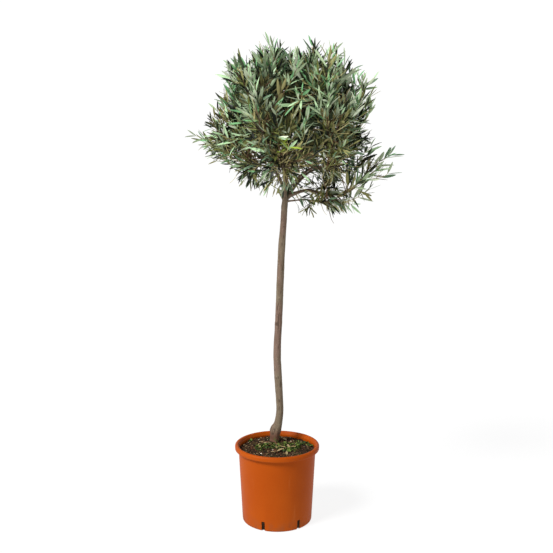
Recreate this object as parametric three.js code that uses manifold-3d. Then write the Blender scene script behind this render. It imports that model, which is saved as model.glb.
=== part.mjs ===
// Standard olive tree with a clear stem, growing in a round nursery pot.
//
// Millimetres, +Z up. The origin is the middle of the pot's flat underside. +X is to the right, -Y is
// the front. The trunk stands on a low mound of soil behind the pot's axis, leans to the right and
// forks under an open, rounded head. Each bough runs from the trunk to one mass of foliage, and each
// mass is a lumpy solid that fills its own share of the head, with air between it and its neighbours.

import * as THREE from "three";
import { mergeVertices } from "three/addons/utils/BufferGeometryUtils.js";
import Module from "manifold-3d";

const wasm = await Module();
wasm.setup();

// ---------------------------------------------------------------- driving dimensions

const GAP = 0.3; // clearance between solids that touch

// The pot: a tapered wall of moulded plastic under a deep rolled lip, with drain slots at its foot.
const POT = {
  height: 258,
  lipRadius: 140,
  lipDepth: 21,
  lipRound: 5,
  bodyTopRadius: 127.5,
  baseRadius: 115,
  baseRound: 5,
  wall: 3,
  floor: 3.5,
  segments: 32,
};
const SLOT = { count: 6, firstAngle: -113, width: 11.5, height: 32, reach: 12 };

// The soil: it stops short of the lip, and rises to a flat pad under the trunk.
const SOIL = { level: 237, padTop: 250, padRadius: 27, moundRadius: 78, roughness: 2.2 };

// The trunk, from its flat cut to the tip of its leader: height, x, y and radius at each bend.
const TRUNK_BENDS = [
  [250, -9, 48, 18],
  [268, -7, 48, 17],
  [292, -2, 48, 16],
  [320, 6, 48, 12.8],
  [355, 9.5, 47, 11.9],
  [446, 5, 45, 12.2],
  [560, 0, 41, 12.4],
  [650, 4.5, 37, 11.2],
  [736, 8, 34, 11.7],
  [850, 12, 28, 11.3],
  [985, 20, 21, 10.2],
  [1060, 25.5, 17, 9.5],
  [1108, 27, 15, 8],
  [1160, 30, 14, 6.2],
  [1230, 32, 12, 4.6],
  [1290, 30, 12, 3.4],
];
const TRUNK_SIDES = 10;
const TRUNK_STEPS = 22;
const FLARE = { height: 62, lobes: 3, depth: 0.2, turn: 2.9 };

// The head's even outline: at each height, how far it reaches to the left and to the right.
const HEAD_OUTLINE = [
  [1062, 20, 60],
  [1085, -50, 190],
  [1110, -92, 255],
  [1165, -168, 305],
  [1250, -258, 318],
  [1352, -245, 304],
  [1460, -180, 296],
  [1515, -138, 238],
  [1550, -66, 150],
  [1566, 30, 60],
];
const HEAD = { y: 10, depth: 0.97 }; // its middle from front to back, and its depth over its width
const AIR = 12; // air between two masses
const INWARD = 60; // how far a mass may grow back towards the leader
const LUMPS = { depth: 0.3, dents: 0.22, waves: 6, low: 1.6, high: 4.4 };

// The masses in tiers round the leader. Angles are in degrees: 0 is right, 90 back, 180 left, 270 front.
// core is how far a tier's masses stay from the leader, fork the height its first bough leaves it at.
const TIERS = [
  { name: "top", count: 3, firstAngle: 335, x: 48, height: 1480, radius: 86, core: 30, fork: 1258, bough: 3.2 },
  { name: "high", count: 5, firstAngle: 12, x: 52, height: 1390, radius: 178, core: 40, fork: 1222, bough: 3.8 },
  { name: "middle", count: 6, firstAngle: 8, x: 38, height: 1272, radius: 214, core: 52, fork: 1180, bough: 4.3 },
  { name: "low", count: 5, firstAngle: 36, x: 66, height: 1174, radius: 156, core: 74, fork: 1063, bough: 4.9 },
];
const FORK_STEP = 8; // how much higher each next bough of a tier leaves the leader

// Two masses that hang outside the tiers on the low right, with the bends of their boughs.
const WINGS = [
  {
    name: "wing_right",
    middle: [300, -5, 1165],
    half: [72, 76, 50],
    fork: 1068,
    bough: 5.2,
    bends: [
      [76, 14, 1091],
      [150, 6, 1086],
      [214, 0, 1086],
      [256, -3, 1118],
    ],
  },
  {
    name: "skirt_right",
    middle: [170, -34, 1056],
    half: [112, 70, 25],
    fork: 1058,
    bough: 3,
    bends: [[62, 2, 1064]],
  },
];

// Sprays that stand out of the even outline: the mass that holds each, and its furthest leaf tip.
const TIPS = [
  { mass: "top_front_right", at: [74, -30, 1570] },
  { mass: "top_back", at: [-34, 70, 1556] },
  { mass: "high_right", at: [318, -10, 1478] },
  { mass: "high_front_left", at: [-160, -60, 1496] },
  { mass: "middle_left", at: [-281, -10, 1260] },
  { mass: "wing_right", at: [395, -12, 1225] },
  { mass: "wing_right", at: [349, -12, 1124] },
  { mass: "skirt_right", at: [281, -30, 1068] },
  { mass: "skirt_right", at: [200, -60, 1032] },
  { mass: "low_front", at: [-50, -96, 1078] },
];
const TIP_SHARPNESS = 10; // how narrow a spray is

const BOUGH = { sides: 5, steps: 5, taper: 0.6, lift: 36, lean: 0.45 };

// ---------------------------------------------------------------- materials

const paint = (color, roughness) => new THREE.MeshStandardMaterial({ color, roughness, metalness: 0 });
const TERRACOTTA_PLASTIC = paint(0xbb5417, 0.5);
const POTTING_SOIL = paint(0x4a3a26, 0.95);
const BARK = paint(0x877564, 0.9);
const LEAVES = paint(0x6f7f5d, 0.7);

// ---------------------------------------------------------------- helpers

// A closed geometry as a manifold-3d solid.
function solidOf(geometry) {
  const bare = geometry.clone();
  bare.deleteAttribute("normal");
  bare.deleteAttribute("uv");
  const merged = mergeVertices(bare, 1e-3);
  return new wasm.Manifold(
    new wasm.Mesh({
      numProp: 3,
      vertProperties: new Float32Array(merged.attributes.position.array),
      triVerts: new Uint32Array(merged.index.array),
    }),
  );
}

// A manifold-3d solid as a geometry.
function geometryOf(solid) {
  const mesh = solid.getMesh();
  const geometry = new THREE.BufferGeometry();
  geometry.setAttribute("position", new THREE.BufferAttribute(mesh.vertProperties, 3));
  geometry.setIndex(new THREE.BufferAttribute(mesh.triVerts, 1));
  geometry.computeVertexNormals();
  return geometry;
}

// The largest of a solid's separate bodies.
function largest(solid) {
  return solid.decompose().reduce((a, b) => (b.volume() > a.volume() ? b : a));
}

// Moves every vertex of a geometry to where place(vertex) says.
function reshape(geometry, place) {
  const position = geometry.getAttribute("position");
  const vertex = new THREE.Vector3();
  for (let i = 0; i < position.count; i++) {
    place(vertex.fromBufferAttribute(position, i));
    position.setXYZ(i, vertex.x, vertex.y, vertex.z);
  }
  return geometry;
}

// A seeded stream of numbers from 0 to 1.
function stream(seed) {
  let state = seed >>> 0;
  return () => {
    state = (state + 0x6d2b79f5) >>> 0;
    let mixed = Math.imul(state ^ (state >>> 15), 1 | state);
    mixed = (mixed + Math.imul(mixed ^ (mixed >>> 7), 61 | mixed)) ^ mixed;
    return ((mixed ^ (mixed >>> 14)) >>> 0) / 4294967296;
  };
}

// A smooth, uneven value from -1 to 1 for each direction: a sum of sine waves along random lines.
function unevenness(seed, waves, low, high) {
  const next = stream(seed);
  const set = Array.from({ length: waves }, () => ({
    along: new THREE.Vector3(next() - 0.5, next() - 0.5, next() - 0.5).normalize(),
    pitch: low + (high - low) * next(),
    phase: 2 * Math.PI * next(),
  }));
  return (direction) =>
    set.reduce((sum, w) => sum + Math.sin(w.pitch * 2 * direction.dot(w.along) + w.phase), 0) / waves;
}

const level = (angle) => new THREE.Vector3(Math.cos(angle), Math.sin(angle), 0);
const radians = THREE.MathUtils.degToRad;

// ---------------------------------------------------------------- pot and soil

// The inside of the pot's wall at a height.
function innerRadius(height) {
  const share = height / (POT.height - POT.lipDepth);
  return THREE.MathUtils.lerp(POT.baseRadius, POT.bodyTopRadius, Math.min(share, 1)) - POT.wall;
}

function potGeometry() {
  const p = POT;
  const lipFoot = p.height - p.lipDepth;
  const profile = [
    [0, 0],
    [p.baseRadius - p.baseRound, 0],
    [p.baseRadius, p.baseRound],
    [p.bodyTopRadius, lipFoot],
    [p.lipRadius - 2, lipFoot],
    [p.lipRadius, lipFoot + 3],
    [p.lipRadius, p.height - p.lipRound],
    [p.lipRadius - p.lipRound, p.height],
    [innerRadius(lipFoot) + p.lipRound, p.height],
    [innerRadius(lipFoot), p.height - p.lipRound],
    [innerRadius(lipFoot), lipFoot],
    [innerRadius(p.floor), p.floor],
    [0, p.floor],
  ].map(([r, z]) => new THREE.Vector2(r, z));
  const turned = new THREE.LatheGeometry(profile, p.segments).rotateX(Math.PI / 2);
  let pot = solidOf(turned);
  for (let i = 0; i < SLOT.count; i++) {
    const outward = radians(SLOT.firstAngle + (360 / SLOT.count) * i);
    const middle = level(outward).multiplyScalar(p.baseRadius);
    const cutter = new THREE.BoxGeometry(2 * SLOT.reach, SLOT.width, 2 * SLOT.height)
      .rotateZ(outward)
      .translate(middle.x, middle.y, 0);
    pot = pot.subtract(solidOf(cutter));
  }
  return geometryOf(pot);
}

// How high the soil lies at a place: level at the wall, rising to the pad, with small unevenness.
function soilHeight(x, y, bumps) {
  const [, padX, padY] = TRUNK_BENDS[0];
  const away = Math.hypot(x - padX, y - padY);
  const mound = 1 - THREE.MathUtils.smoothstep(away, SOIL.padRadius, SOIL.moundRadius);
  const rise = (SOIL.padTop - 1 - SOIL.level) * mound;
  const rough = SOIL.roughness * (1 - mound) * bumps(new THREE.Vector3(x / 60, y / 60, 0));
  return SOIL.level + rise + rough;
}

function soilGeometry() {
  const foot = POT.floor + GAP;
  const rings = [1, 0.8, 0.58, 0.34];
  const rim = innerRadius(SOIL.level) - GAP;
  const profile = [
    [0, foot],
    [innerRadius(foot) - GAP, foot],
    ...rings.map((share) => [rim * share, SOIL.level]),
    [0, SOIL.level],
  ].map(([r, z]) => new THREE.Vector2(r, z));
  const bumps = unevenness(5, 6, 2, 5);
  const turned = new THREE.LatheGeometry(profile, POT.segments).rotateX(Math.PI / 2);
  reshape(turned, (v) => {
    if (v.z > foot + 1) v.z = soilHeight(v.x, v.y, bumps) - (Math.hypot(v.x, v.y) > rim - 1 ? 2 : 0);
  });
  const [, padX, padY] = TRUNK_BENDS[0];
  const padDepth = 12;
  const pad = new THREE.CylinderGeometry(SOIL.padRadius, SOIL.padRadius + 6, padDepth, 24)
    .rotateX(Math.PI / 2)
    .translate(padX, padY, SOIL.padTop - padDepth / 2);
  return geometryOf(solidOf(turned).add(solidOf(pad)));
}

// ---------------------------------------------------------------- trunk

const trunkCurve = new THREE.CubicInterpolant(
  TRUNK_BENDS.map((bend) => bend[0]),
  TRUNK_BENDS.flatMap((bend) => bend.slice(1)),
  3,
);

// The trunk's middle and radius at a height.
function trunkAt(height) {
  const [x, y, radius] = trunkCurve.evaluate(height);
  return { middle: new THREE.Vector3(x, y, height), radius };
}

// Level rings stacked up the trunk, spread into root lobes near the cut. extra thickens it for cutting.
function trunkSolid(extra = 0) {
  const first = TRUNK_BENDS[0][0];
  const last = TRUNK_BENDS.at(-1)[0];
  const tube = new THREE.CylinderGeometry(1, 1, 1, TRUNK_SIDES, TRUNK_STEPS).rotateX(Math.PI / 2);
  reshape(tube, (v) => {
    const share = v.z + 0.5;
    const height = first + GAP + (last - first - GAP) * share ** 1.15;
    const { middle, radius } = trunkAt(height);
    const spread = Math.max(0, 1 - (height - first) / FLARE.height) ** 2;
    const angle = Math.atan2(v.y, v.x);
    const lobes = 1 + FLARE.depth * spread * (1 + Math.cos(FLARE.lobes * (angle - FLARE.turn)));
    const reach = (radius * lobes + extra) * Math.hypot(v.x, v.y);
    v.set(middle.x + reach * Math.cos(angle), middle.y + reach * Math.sin(angle), height);
  });
  return solidOf(tube);
}

// ---------------------------------------------------------------- foliage

// A plain word for a direction round the trunk.
function sideOf(angle) {
  const names = ["right", "back_right", "back", "back_left", "left", "front_left", "front", "front_right"];
  return names[Math.round((((angle % 360) + 360) % 360) / 45) % 8];
}

// Every mass: its name, its middle, the way it faces and what its bough starts with.
const tierMasses = TIERS.flatMap((tier) =>
  Array.from({ length: tier.count }, (_, i) => {
    const angle = tier.firstAngle + (360 / tier.count) * i;
    const out = level(radians(angle));
    const middle = new THREE.Vector3(tier.x, HEAD.y, tier.height).addScaledVector(out, tier.radius);
    const fork = tier.fork + FORK_STEP * ((i * 2) % tier.count);
    return { ...tier, name: tier.name + "_" + sideOf(angle), middle, out, fork };
  }),
);
const wingMasses = WINGS.map((wing) => {
  const middle = new THREE.Vector3(...wing.middle);
  return { ...wing, middle, out: level(0), core: 0 };
});
const masses = [...wingMasses, ...tierMasses];

const headCurve = new THREE.LinearInterpolant(
  HEAD_OUTLINE.map((row) => row[0]),
  HEAD_OUTLINE.flatMap((row) => row.slice(1)),
  2,
);

// Whether a point is inside the head's even outline: each level section is an ellipse.
function insideHead(point) {
  if (point.z < HEAD_OUTLINE[0][0] || point.z > HEAD_OUTLINE.at(-1)[0]) return false;
  const [left, right] = headCurve.evaluate(point.z);
  const half = (right - left) / 2;
  return Math.hypot(point.x - left - half, (point.y - HEAD.y) / HEAD.depth) < half;
}

// How far the outline that shapes a mass lies from its middle, along a direction.
function reachOfOutline(mass, direction) {
  if (mass.half) return 1 / direction.clone().divide(new THREE.Vector3(...mass.half)).length();
  let near = 0;
  let far = 500;
  for (let i = 0; i < 20; i++) {
    const halfway = (near + far) / 2;
    if (insideHead(mass.middle.clone().addScaledVector(direction, halfway))) near = halfway;
    else far = halfway;
  }
  return near;
}

// How far a mass may reach along a direction before it meets its neighbours' share or the core.
function reachOfShare(mass, direction) {
  let reach = Infinity;
  for (const other of masses) {
    if (other === mass) continue;
    const apart = other.middle.clone().sub(mass.middle);
    const distance = apart.length();
    const towards = direction.dot(apart) / distance;
    if (towards > 0) reach = Math.min(reach, (distance / 2 - AIR / 2) / towards);
  }
  const inward = -direction.dot(mass.out);
  if (inward > 0) {
    const leader = trunkAt(Math.min(mass.middle.z, TRUNK_BENDS.at(-1)[0])).middle;
    const toLeader = mass.middle.clone().sub(leader).setZ(0).dot(mass.out);
    const back = THREE.MathUtils.lerp(4 * INWARD, INWARD, THREE.MathUtils.smoothstep(inward, 0, 0.4));
    reach = Math.min(reach, back, (toLeader - mass.core) / inward);
  }
  return reach;
}

// One mass: a ball drawn out to its outline, dented by lumps, and drawn out further to its sprays.
function massSolid(mass, seed, extra = 0) {
  const uneven = unevenness(seed, LUMPS.waves, LUMPS.low, LUMPS.high);
  const tips = TIPS.filter((tip) => tip.mass === mass.name).map((tip) =>
    new THREE.Vector3(...tip.at).sub(mass.middle),
  );
  const ball = new THREE.OctahedronGeometry(1, 5);
  reshape(ball, (v) => {
    const direction = v.clone().normalize();
    const bump = THREE.MathUtils.clamp(0.5 + 1.1 * uneven(direction), 0, 1);
    let reach = reachOfOutline(mass, direction) * (1 + 0.04 - LUMPS.depth * (1 - bump));
    for (const tip of tips) {
      const share = Math.max(0, direction.dot(tip) / tip.length()) ** TIP_SHARPNESS;
      reach = THREE.MathUtils.lerp(reach, Math.max(reach, tip.length()), share);
    }
    const share = reachOfShare(mass, direction) * (1 - LUMPS.dents * (1 - bump));
    v.copy(mass.middle).addScaledVector(direction, Math.min(reach, share) + extra);
  });
  return solidOf(ball);
}

// ---------------------------------------------------------------- boughs

// The path of a bough: from the leader's middle, through its bends, to the middle of its mass.
function boughPath(mass) {
  const start = trunkAt(mass.fork).middle;
  const end = mass.middle.clone();
  if (mass.bends) {
    return new THREE.CatmullRomCurve3([start, ...mass.bends.map((bend) => new THREE.Vector3(...bend)), end]);
  }
  const bend = start.clone().lerp(end, BOUGH.lean);
  bend.z += BOUGH.lift;
  return new THREE.CatmullRomCurve3([start, bend, end]);
}

// One tapering limb. extra thickens it for cutting.
function boughSolid(mass, extra = 0) {
  const path = boughPath(mass);
  const across = new THREE.Vector3(0, 0, 1).cross(mass.out).normalize();
  const tube = new THREE.CylinderGeometry(1, 1, 1, BOUGH.sides, mass.bends ? 2 * BOUGH.steps : BOUGH.steps);
  reshape(tube, (v) => {
    const share = v.y + 0.5;
    const radius = mass.bough * THREE.MathUtils.lerp(1, BOUGH.taper, share) + extra;
    const upright = across.clone().cross(path.getTangent(share)).normalize();
    const { x, z } = v;
    v.copy(path.getPoint(share)).addScaledVector(across, radius * x).addScaledVector(upright, radius * z);
  });
  return solidOf(tube);
}

// ---------------------------------------------------------------- assembly

const tree = new THREE.Group();

function add(name, geometry, material) {
  const mesh = new THREE.Mesh(geometry, material);
  mesh.name = name;
  tree.add(mesh);
}

add("pot", potGeometry(), TERRACOTTA_PLASTIC);
add("soil", soilGeometry(), POTTING_SOIL);
add("trunk", geometryOf(trunkSolid()), BARK);

masses.forEach((mass, i) => {
  mass.solid = massSolid(mass, 101 + i);
  mass.cutter = massSolid(mass, 101 + i, 2 * GAP);
  add("foliage_" + mass.name, geometryOf(mass.solid), LEAVES);
});

// Each bough is cut where it leaves the trunk, clear of the boughs before it, and where it enters a mass.
let taken = trunkSolid(GAP);
const shares = wasm.Manifold.union(masses.map((mass) => mass.cutter));
for (const mass of masses) {
  const bough = largest(boughSolid(mass).subtract(taken).subtract(shares));
  taken = taken.add(boughSolid(mass, GAP));
  add("bough_" + mass.name, geometryOf(bough), BARK);
}

export default tree;
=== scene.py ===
"""A potted olive tree: pot, soil, barked stem and boughs, twigs and leaves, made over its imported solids."""

import itertools
import math

import bpy
import numpy as np
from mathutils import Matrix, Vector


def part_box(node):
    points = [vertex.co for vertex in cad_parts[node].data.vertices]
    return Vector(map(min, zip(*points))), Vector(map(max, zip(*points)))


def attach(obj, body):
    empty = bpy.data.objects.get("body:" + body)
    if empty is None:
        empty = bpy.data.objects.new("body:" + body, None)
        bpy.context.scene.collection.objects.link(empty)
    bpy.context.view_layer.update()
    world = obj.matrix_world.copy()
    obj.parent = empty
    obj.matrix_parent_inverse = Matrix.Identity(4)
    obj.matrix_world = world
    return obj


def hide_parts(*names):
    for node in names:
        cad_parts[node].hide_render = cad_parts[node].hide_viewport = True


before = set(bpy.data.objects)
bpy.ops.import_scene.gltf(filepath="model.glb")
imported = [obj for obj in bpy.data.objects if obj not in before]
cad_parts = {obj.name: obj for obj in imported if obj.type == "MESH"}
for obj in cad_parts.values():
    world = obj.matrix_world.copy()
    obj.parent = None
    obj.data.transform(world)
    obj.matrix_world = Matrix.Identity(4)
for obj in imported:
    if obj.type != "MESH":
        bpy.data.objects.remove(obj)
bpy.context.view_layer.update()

bl_info = {
    "name": "Potted Olive Tree",
    "version": (1, 0, 0),
    "blender": (4, 5, 0),
    "location": "3D View > Sidebar > Olive",
    "description": "Makes a young standard olive tree in a round nursery pot",
    "category": "Add Mesh",
}

UP = np.array([0.0, 0.0, 1.0])
MASSES = sorted(name.removeprefix("foliage_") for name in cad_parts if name.startswith("foliage_"))
LEAF_GROUPS = ("top", "high_left", "high_right", "middle", "low")
LOW_TIERS = ("low", "wing", "skirt")

# The height of the fork, where the boughs leave the stem.
FORK = 1.08

# How each tier grows. full is the share of its shoots that are kept; lift turns them up (or down, below
# 0) from the way that leads out from the fork; hang turns the leaves down; leaf is a full leaf's length and
# gap the distance between pairs; bald is the share of a shoot that stays leafless; bare is the number of
# leafless twigs on each shoot; kinds are the shares of the leaf kinds in LEAF_KINDS. These lean to the pale
# kinds at the top and to the dark kind low down: partly painted light from above and painted shade below.
HABIT_KEYS = ("full", "lift", "hang", "leaf", "gap", "bald", "bare", "kinds")
HABITS = {
    "top": (0.95, 1.0, 0.0, 0.057, 0.0150, 0.1, 0, (9, 7, 2, 6, 1, 0.2, 0)),
    "high": (1.0, 0.8, 0.0, 0.053, 0.0155, 0.2, 1, (7, 5.5, 2, 7, 2, 0.6, 0)),
    "middle": (0.85, 0.2, 0.1, 0.048, 0.0190, 0.45, 2, (2, 4.5, 3, 7, 4, 1.6, 0)),
    "low": (0.62, -0.2, 0.6, 0.048, 0.0210, 0.5, 3, (0.5, 2.5, 3, 8, 3, 1.5, 0)),
    "wing": (0.28, 0.9, 0.0, 0.060, 0.0200, 0.4, 1, (4, 3, 4, 5, 1, 0, 0)),
    "skirt": (0.4, -0.4, 0.7, 0.050, 0.0200, 0.4, 2, (0, 1, 3, 9, 2, 1, 0)),
}

# The kinds of leaf: the colour of the upper side and of the paler under side. The last is the new growth.
# The near-black dark kind is partly painted shade for the head's shadows, and the pale bright kind is partly
# a painted highlight.
LEAF_KINDS = {
    "fresh": ("70a26f", "adc199"),
    "bright": ("a8c69a", "d2dcc0"),
    "grey": ("627d5f", "9ba78a"),
    "dark": ("10180d", "39422f"),
    "olive": ("5d6230", "949260"),
    "dull": ("4c482b", "878257"),
    "young": ("8b9e38", "a9b455"),
}

# The shares of these kinds deep inside the head, mostly the dark kind: painted shade in the head's middle.
SHADED_INNER_KINDS = (0, 1, 1, 14, 2, 2, 0)

LEAF_THICK = 0.0005

# A tuft of new yellow-green growth in the front of the head: its middle and its reach.
SPROUT = (0.014, -0.224, 1.228, 0.027)

# Where some longer shoots end, besides the masses' own farthest corners: a cluster above the wing, a few at
# the left of the head, a few that hang below it on the left and the right, and the tuft's own.
PLUMES = [
    (0.300, -0.060, 1.270), (0.316, -0.045, 1.248), (0.292, -0.085, 1.236),
    (0.308, -0.020, 1.222), (0.290, 0.030, 1.250), (-0.215, -0.040, 1.200),
    (-0.235, -0.090, 1.235), (-0.225, 0.020, 1.310), (-0.060, -0.110, 1.085),
    (-0.095, -0.060, 1.105), (-0.130, -0.090, 1.130), (0.120, -0.120, 1.060),
    (0.190, -0.080, 1.075), (0.024, -0.244, 1.240), (0.032, -0.244, 1.226),
]


# ---------------------------------------------------------------- colours and shaders


def colour(code):
    """A hex colour as linear red, green, blue and 1: a share s becomes ((s + 0.055) / 1.055) to the 2.4."""
    shares = np.array([int(code[i : i + 2], 16) / 255 for i in (0, 2, 4)])
    linear = np.where(shares > 0.04045, ((shares + 0.055) / 1.055) ** 2.4, shares / 12.92)
    return (*linear.tolist(), 1.0)


class Value:
    """A socket of a shader. Arithmetic on it adds Math nodes."""

    def __init__(self, shader, socket):
        self.shader = shader
        self.socket = socket

    def math(self, operation, first, second):
        return self.shader.node("ShaderNodeMath", {"operation": operation}, {0: first, 1: second})

    def __add__(self, other):
        return self.math("ADD", self, other)

    def __sub__(self, other):
        return self.math("SUBTRACT", self, other)

    def __rsub__(self, other):
        return self.math("SUBTRACT", other, self)

    def __mul__(self, other):
        return self.math("MULTIPLY", self, other)

    def between(self, low, high):
        """0 below low, 1 above high and a smooth rise between them."""
        settings = {"interpolation_type": "SMOOTHSTEP"}
        return self.shader.node("ShaderNodeMapRange", settings, {0: self, 1: low, 2: high, 3: 0.0, 4: 1.0})

    __radd__ = __add__
    __rmul__ = __mul__


class Shader:
    """A material made of one Principled shader and the nodes that feed it."""

    def __init__(self, name, **fixed):
        self.material = bpy.data.materials.new(name)
        self.material.use_nodes = True
        self.tree = self.material.node_tree
        self.surface = self.tree.nodes["Principled BSDF"]
        for socket, value in fixed.items():
            self.put(socket.replace("_", " ").title(), value)

    def put(self, socket, value):
        """Feeds one socket of the Principled shader."""
        self.feed(self.surface.inputs[socket.replace("Ior", "IOR")], value)

    def feed(self, socket, value):
        """Links a value to a socket, or sets the socket to it."""
        if isinstance(value, Value):
            self.tree.links.new(value.socket, socket)
        else:
            socket.default_value = value

    def node(self, kind, settings, inputs, output=0):
        """Adds a node: its settings first, then the values or links of its sockets. Returns one output."""
        node = self.tree.nodes.new(kind)
        for key, value in settings.items():
            setattr(node, key, value)
        for key, value in inputs.items():
            self.feed(node.inputs[key], value)
        return Value(self, node.outputs[output])

    def place(self, stretch=(1, 1, 1)):
        """Object coordinates, drawn out along an axis where its stretch is below 1."""
        coordinates = self.node("ShaderNodeTexCoord", {}, {}, "Object")
        return self.node("ShaderNodeVectorMath", {"operation": "MULTIPLY"}, {0: coordinates, 1: stretch})

    def height(self):
        """Height above the floor."""
        return self.node("ShaderNodeSeparateXYZ", {}, {0: self.place()}, 2)

    def noise(self, scale, detail=3.0, stretch=(1, 1, 1)):
        """Cloudy noise round a half."""
        inputs = {"Vector": self.place(stretch), "Scale": scale, "Detail": detail}
        return self.node("ShaderNodeTexNoise", {}, inputs, "Fac")

    def specks(self, scale, stretch=(1, 1, 1)):
        """Distance to the nearest of scattered points, for pores and grains."""
        inputs = {"Vector": self.place(stretch), "Scale": scale}
        return self.node("ShaderNodeTexVoronoi", {}, inputs, "Distance")

    def attribute(self, name):
        """A number that the piece holds at each of its points."""
        return self.node("ShaderNodeAttribute", {"attribute_name": name}, {}, "Fac")

    def mix(self, share, first, second):
        """first where share is 0 and second where it is 1, as colours."""
        settings = {"data_type": "RGBA"}
        return self.node("ShaderNodeMix", settings, {0: share, 6: first, 7: second}, 2)

    def bump(self, height, strength, distance):
        """Relief from a height of 0 to 1 over this distance."""
        inputs = {"Height": height, "Strength": strength, "Distance": distance}
        self.put("Normal", self.node("ShaderNodeBump", {}, inputs))


def pot_plastic(settings):
    """Moulded plastic: an even colour with cloudy fading, faint rings, scuffs, and soil dust at the foot."""
    shader = Shader("terracotta_plastic", specular_ior_level=0.06)
    cloud = shader.noise(7.0, 4.0)
    scuff = shader.noise(60.0, 5.0, (1, 1, 0.12)).between(0.62, 0.78)
    body = shader.mix(cloud.between(0.3, 0.75), settings.colour, settings.faded)
    body = shader.mix(scuff * 0.1, body, colour("c9824f"))
    dust = (1 - shader.height().between(0.0, 0.05)) * shader.noise(35.0, 5.0).between(0.4, 0.7)
    body = shader.mix(dust * 0.45, body, colour("6a4630"))
    shader.put("Base Color", body)
    shader.put("Roughness", 0.4 + cloud * 0.14 + scuff * 0.12 + dust * 0.2)
    grain = shader.noise(900.0, 2.0)
    rings = shader.noise(1.0, 2.0, (1, 1, 420))
    shader.bump(grain * 0.35 + rings * 0.65, 0.12, 0.0006)
    return shader.material


def soil_crumb():
    """Potting soil: dark brown with lighter fibres, damp patches and green algae."""
    shader = Shader("potting_soil", specular_ior_level=0.08)
    tone = shader.noise(140.0, 6.0)
    body = shader.mix(tone.between(0.3, 0.7), colour("1a130c"), colour("3f2f1f"))
    fibre = shader.noise(330.0, 3.0, (1, 0.35, 1)).between(0.62, 0.72)
    body = shader.mix(fibre * 0.6, body, colour("6b573c"))
    algae = shader.noise(26.0, 4.0).between(0.54, 0.7)
    body = shader.mix(algae * 0.7, body, colour("39451d"))
    shader.put("Base Color", body)
    shader.put("Roughness", 0.82 + tone * 0.16)
    shader.bump(tone * 0.6 + shader.specks(420.0) * 0.4, 0.7, 0.002)
    return shader.material


def olive_bark(name, settings, greener=0.55):
    """Smooth young bark: grey brown with pinkish and olive patches, a reddish mossy foot, painted shade in
    the furrows from the piece's own attribute, pale pores and fine grain."""
    shader = Shader(name, specular_ior_level=0.12)
    patch = shader.noise(16.0, 3.0, (1, 1, 0.35))
    streak = shader.noise(170.0, 5.0, (1, 1, 0.1))
    body = shader.mix(patch.between(0.38, 0.58), settings.bark, settings.blush)
    moss = shader.noise(9.0, 4.0, (1, 1, 0.3)).between(0.5, 0.68)
    body = shader.mix(moss * greener, body, settings.lichen)
    body = shader.mix(streak.between(0.42, 0.62) * 0.55, body, colour("5b4a3c"))
    pore = 1 - shader.specks(190.0, (1, 1, 0.7)).between(0.1, 0.22)
    body = shader.mix(pore * 0.45, body, colour("b5a58e"))
    foot = 1 - (shader.height() + patch * 0.05 - 0.025).between(0.262, 0.3)
    body = shader.mix(foot * 0.75, body, colour("5f3c2e"))
    body = shader.mix(foot * shader.noise(60.0, 3.0).between(0.52, 0.6) * 0.7, body, colour("4b5a2a"))
    # Painted shade in the bark's furrows and in the knots' hollows.
    body = shader.mix(shader.attribute("furrow").between(0.15, 0.9) * 0.7, body, colour("3b2e25"))
    shader.put("Base Color", body)
    shader.put("Roughness", 0.72 + streak * 0.22)
    shader.bump(streak * 0.7 + pore * 0.3, 0.5, 0.001)
    return shader.material


def plain(name, code, roughness, specular=0.35):
    """One even colour, for small things that are dealt out by kind."""
    fixed = {"base_color": colour(code), "roughness": roughness, "specular_ior_level": specular}
    return Shader(name, **fixed).material


# ---------------------------------------------------------------- numbers and curves


def unit(vectors):
    """The same directions with length 1."""
    return vectors / np.maximum(np.linalg.norm(vectors, axis=-1, keepdims=True), 1e-12)


def dot(first, second):
    """Dot products, kept as a last column."""
    return (first * second).sum(-1, keepdims=True)


def smooth(low, high, values):
    """0 below low, 1 above high, and 3t² - 2t³ between them."""
    t = np.clip((values - low) / (high - low), 0, 1)
    return t * t * (3 - 2 * t)


# Large odd numbers that mix the corner of a cube with a seed into one scrambled number.
CORNER_MIX = np.array([73856093, 19349663, 83492791])
SEED_MIX, LAST_MIX = 40503, 1274126177
LOW_32_BITS, LOW_16_BITS = 0xFFFFFFFF, 0xFFFF


def lattice_noise(points, size, seed):
    """Smooth noise from -1 to 1: random values at the corners of cubes of this size, blended inside each
    cube by the product of 3t² - 2t³ along its three sides."""
    cell = points / size
    base = np.floor(cell).astype(np.int64)
    t = cell - base
    t = t * t * (3 - 2 * t)
    total = np.zeros(points.shape[:-1])
    for corner in itertools.product((0, 1), repeat=3):
        key = (base + np.array(corner)) * CORNER_MIX
        key = (key[..., 0] ^ key[..., 1] ^ key[..., 2] ^ (seed * SEED_MIX)) & LOW_32_BITS
        key = ((key ^ (key >> 13)) * LAST_MIX) & LOW_32_BITS
        value = ((key ^ (key >> 16)) & LOW_16_BITS) / (LOW_16_BITS / 2) - 1
        total += value * np.where(corner, t, 1 - t).prod(-1)
    return total


def compass(angles):
    """Directions on the level, as the cosine and the sine of each angle."""
    return np.stack([np.cos(angles), np.sin(angles)], -1)


def circle(count):
    """Evenly stepped angles once round a circle, and their directions."""
    angles = np.arange(count) * 2 * math.pi / count
    return angles, compass(angles)


def level(flat, heights):
    """Points (..., 3) from their places on the level (..., 2) and their heights."""
    return np.concatenate([flat, np.broadcast_to(heights, flat.shape[:-1])[..., None]], -1)


def bezier(start, leave, arrive, end, steps):
    """Cubic curves: (1-t)³ start + 3(1-t)²t leave + 3(1-t)t² arrive + t³ end, as (curves, steps, 3)."""
    t = np.linspace(0, 1, steps)[:, None]
    a, b, c, d = (np.atleast_2d(p)[:, None] for p in (start, leave, arrive, end))
    return (1 - t) ** 3 * a + 3 * (1 - t) ** 2 * t * b + 3 * (1 - t) * t**2 * c + t**3 * d


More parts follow.
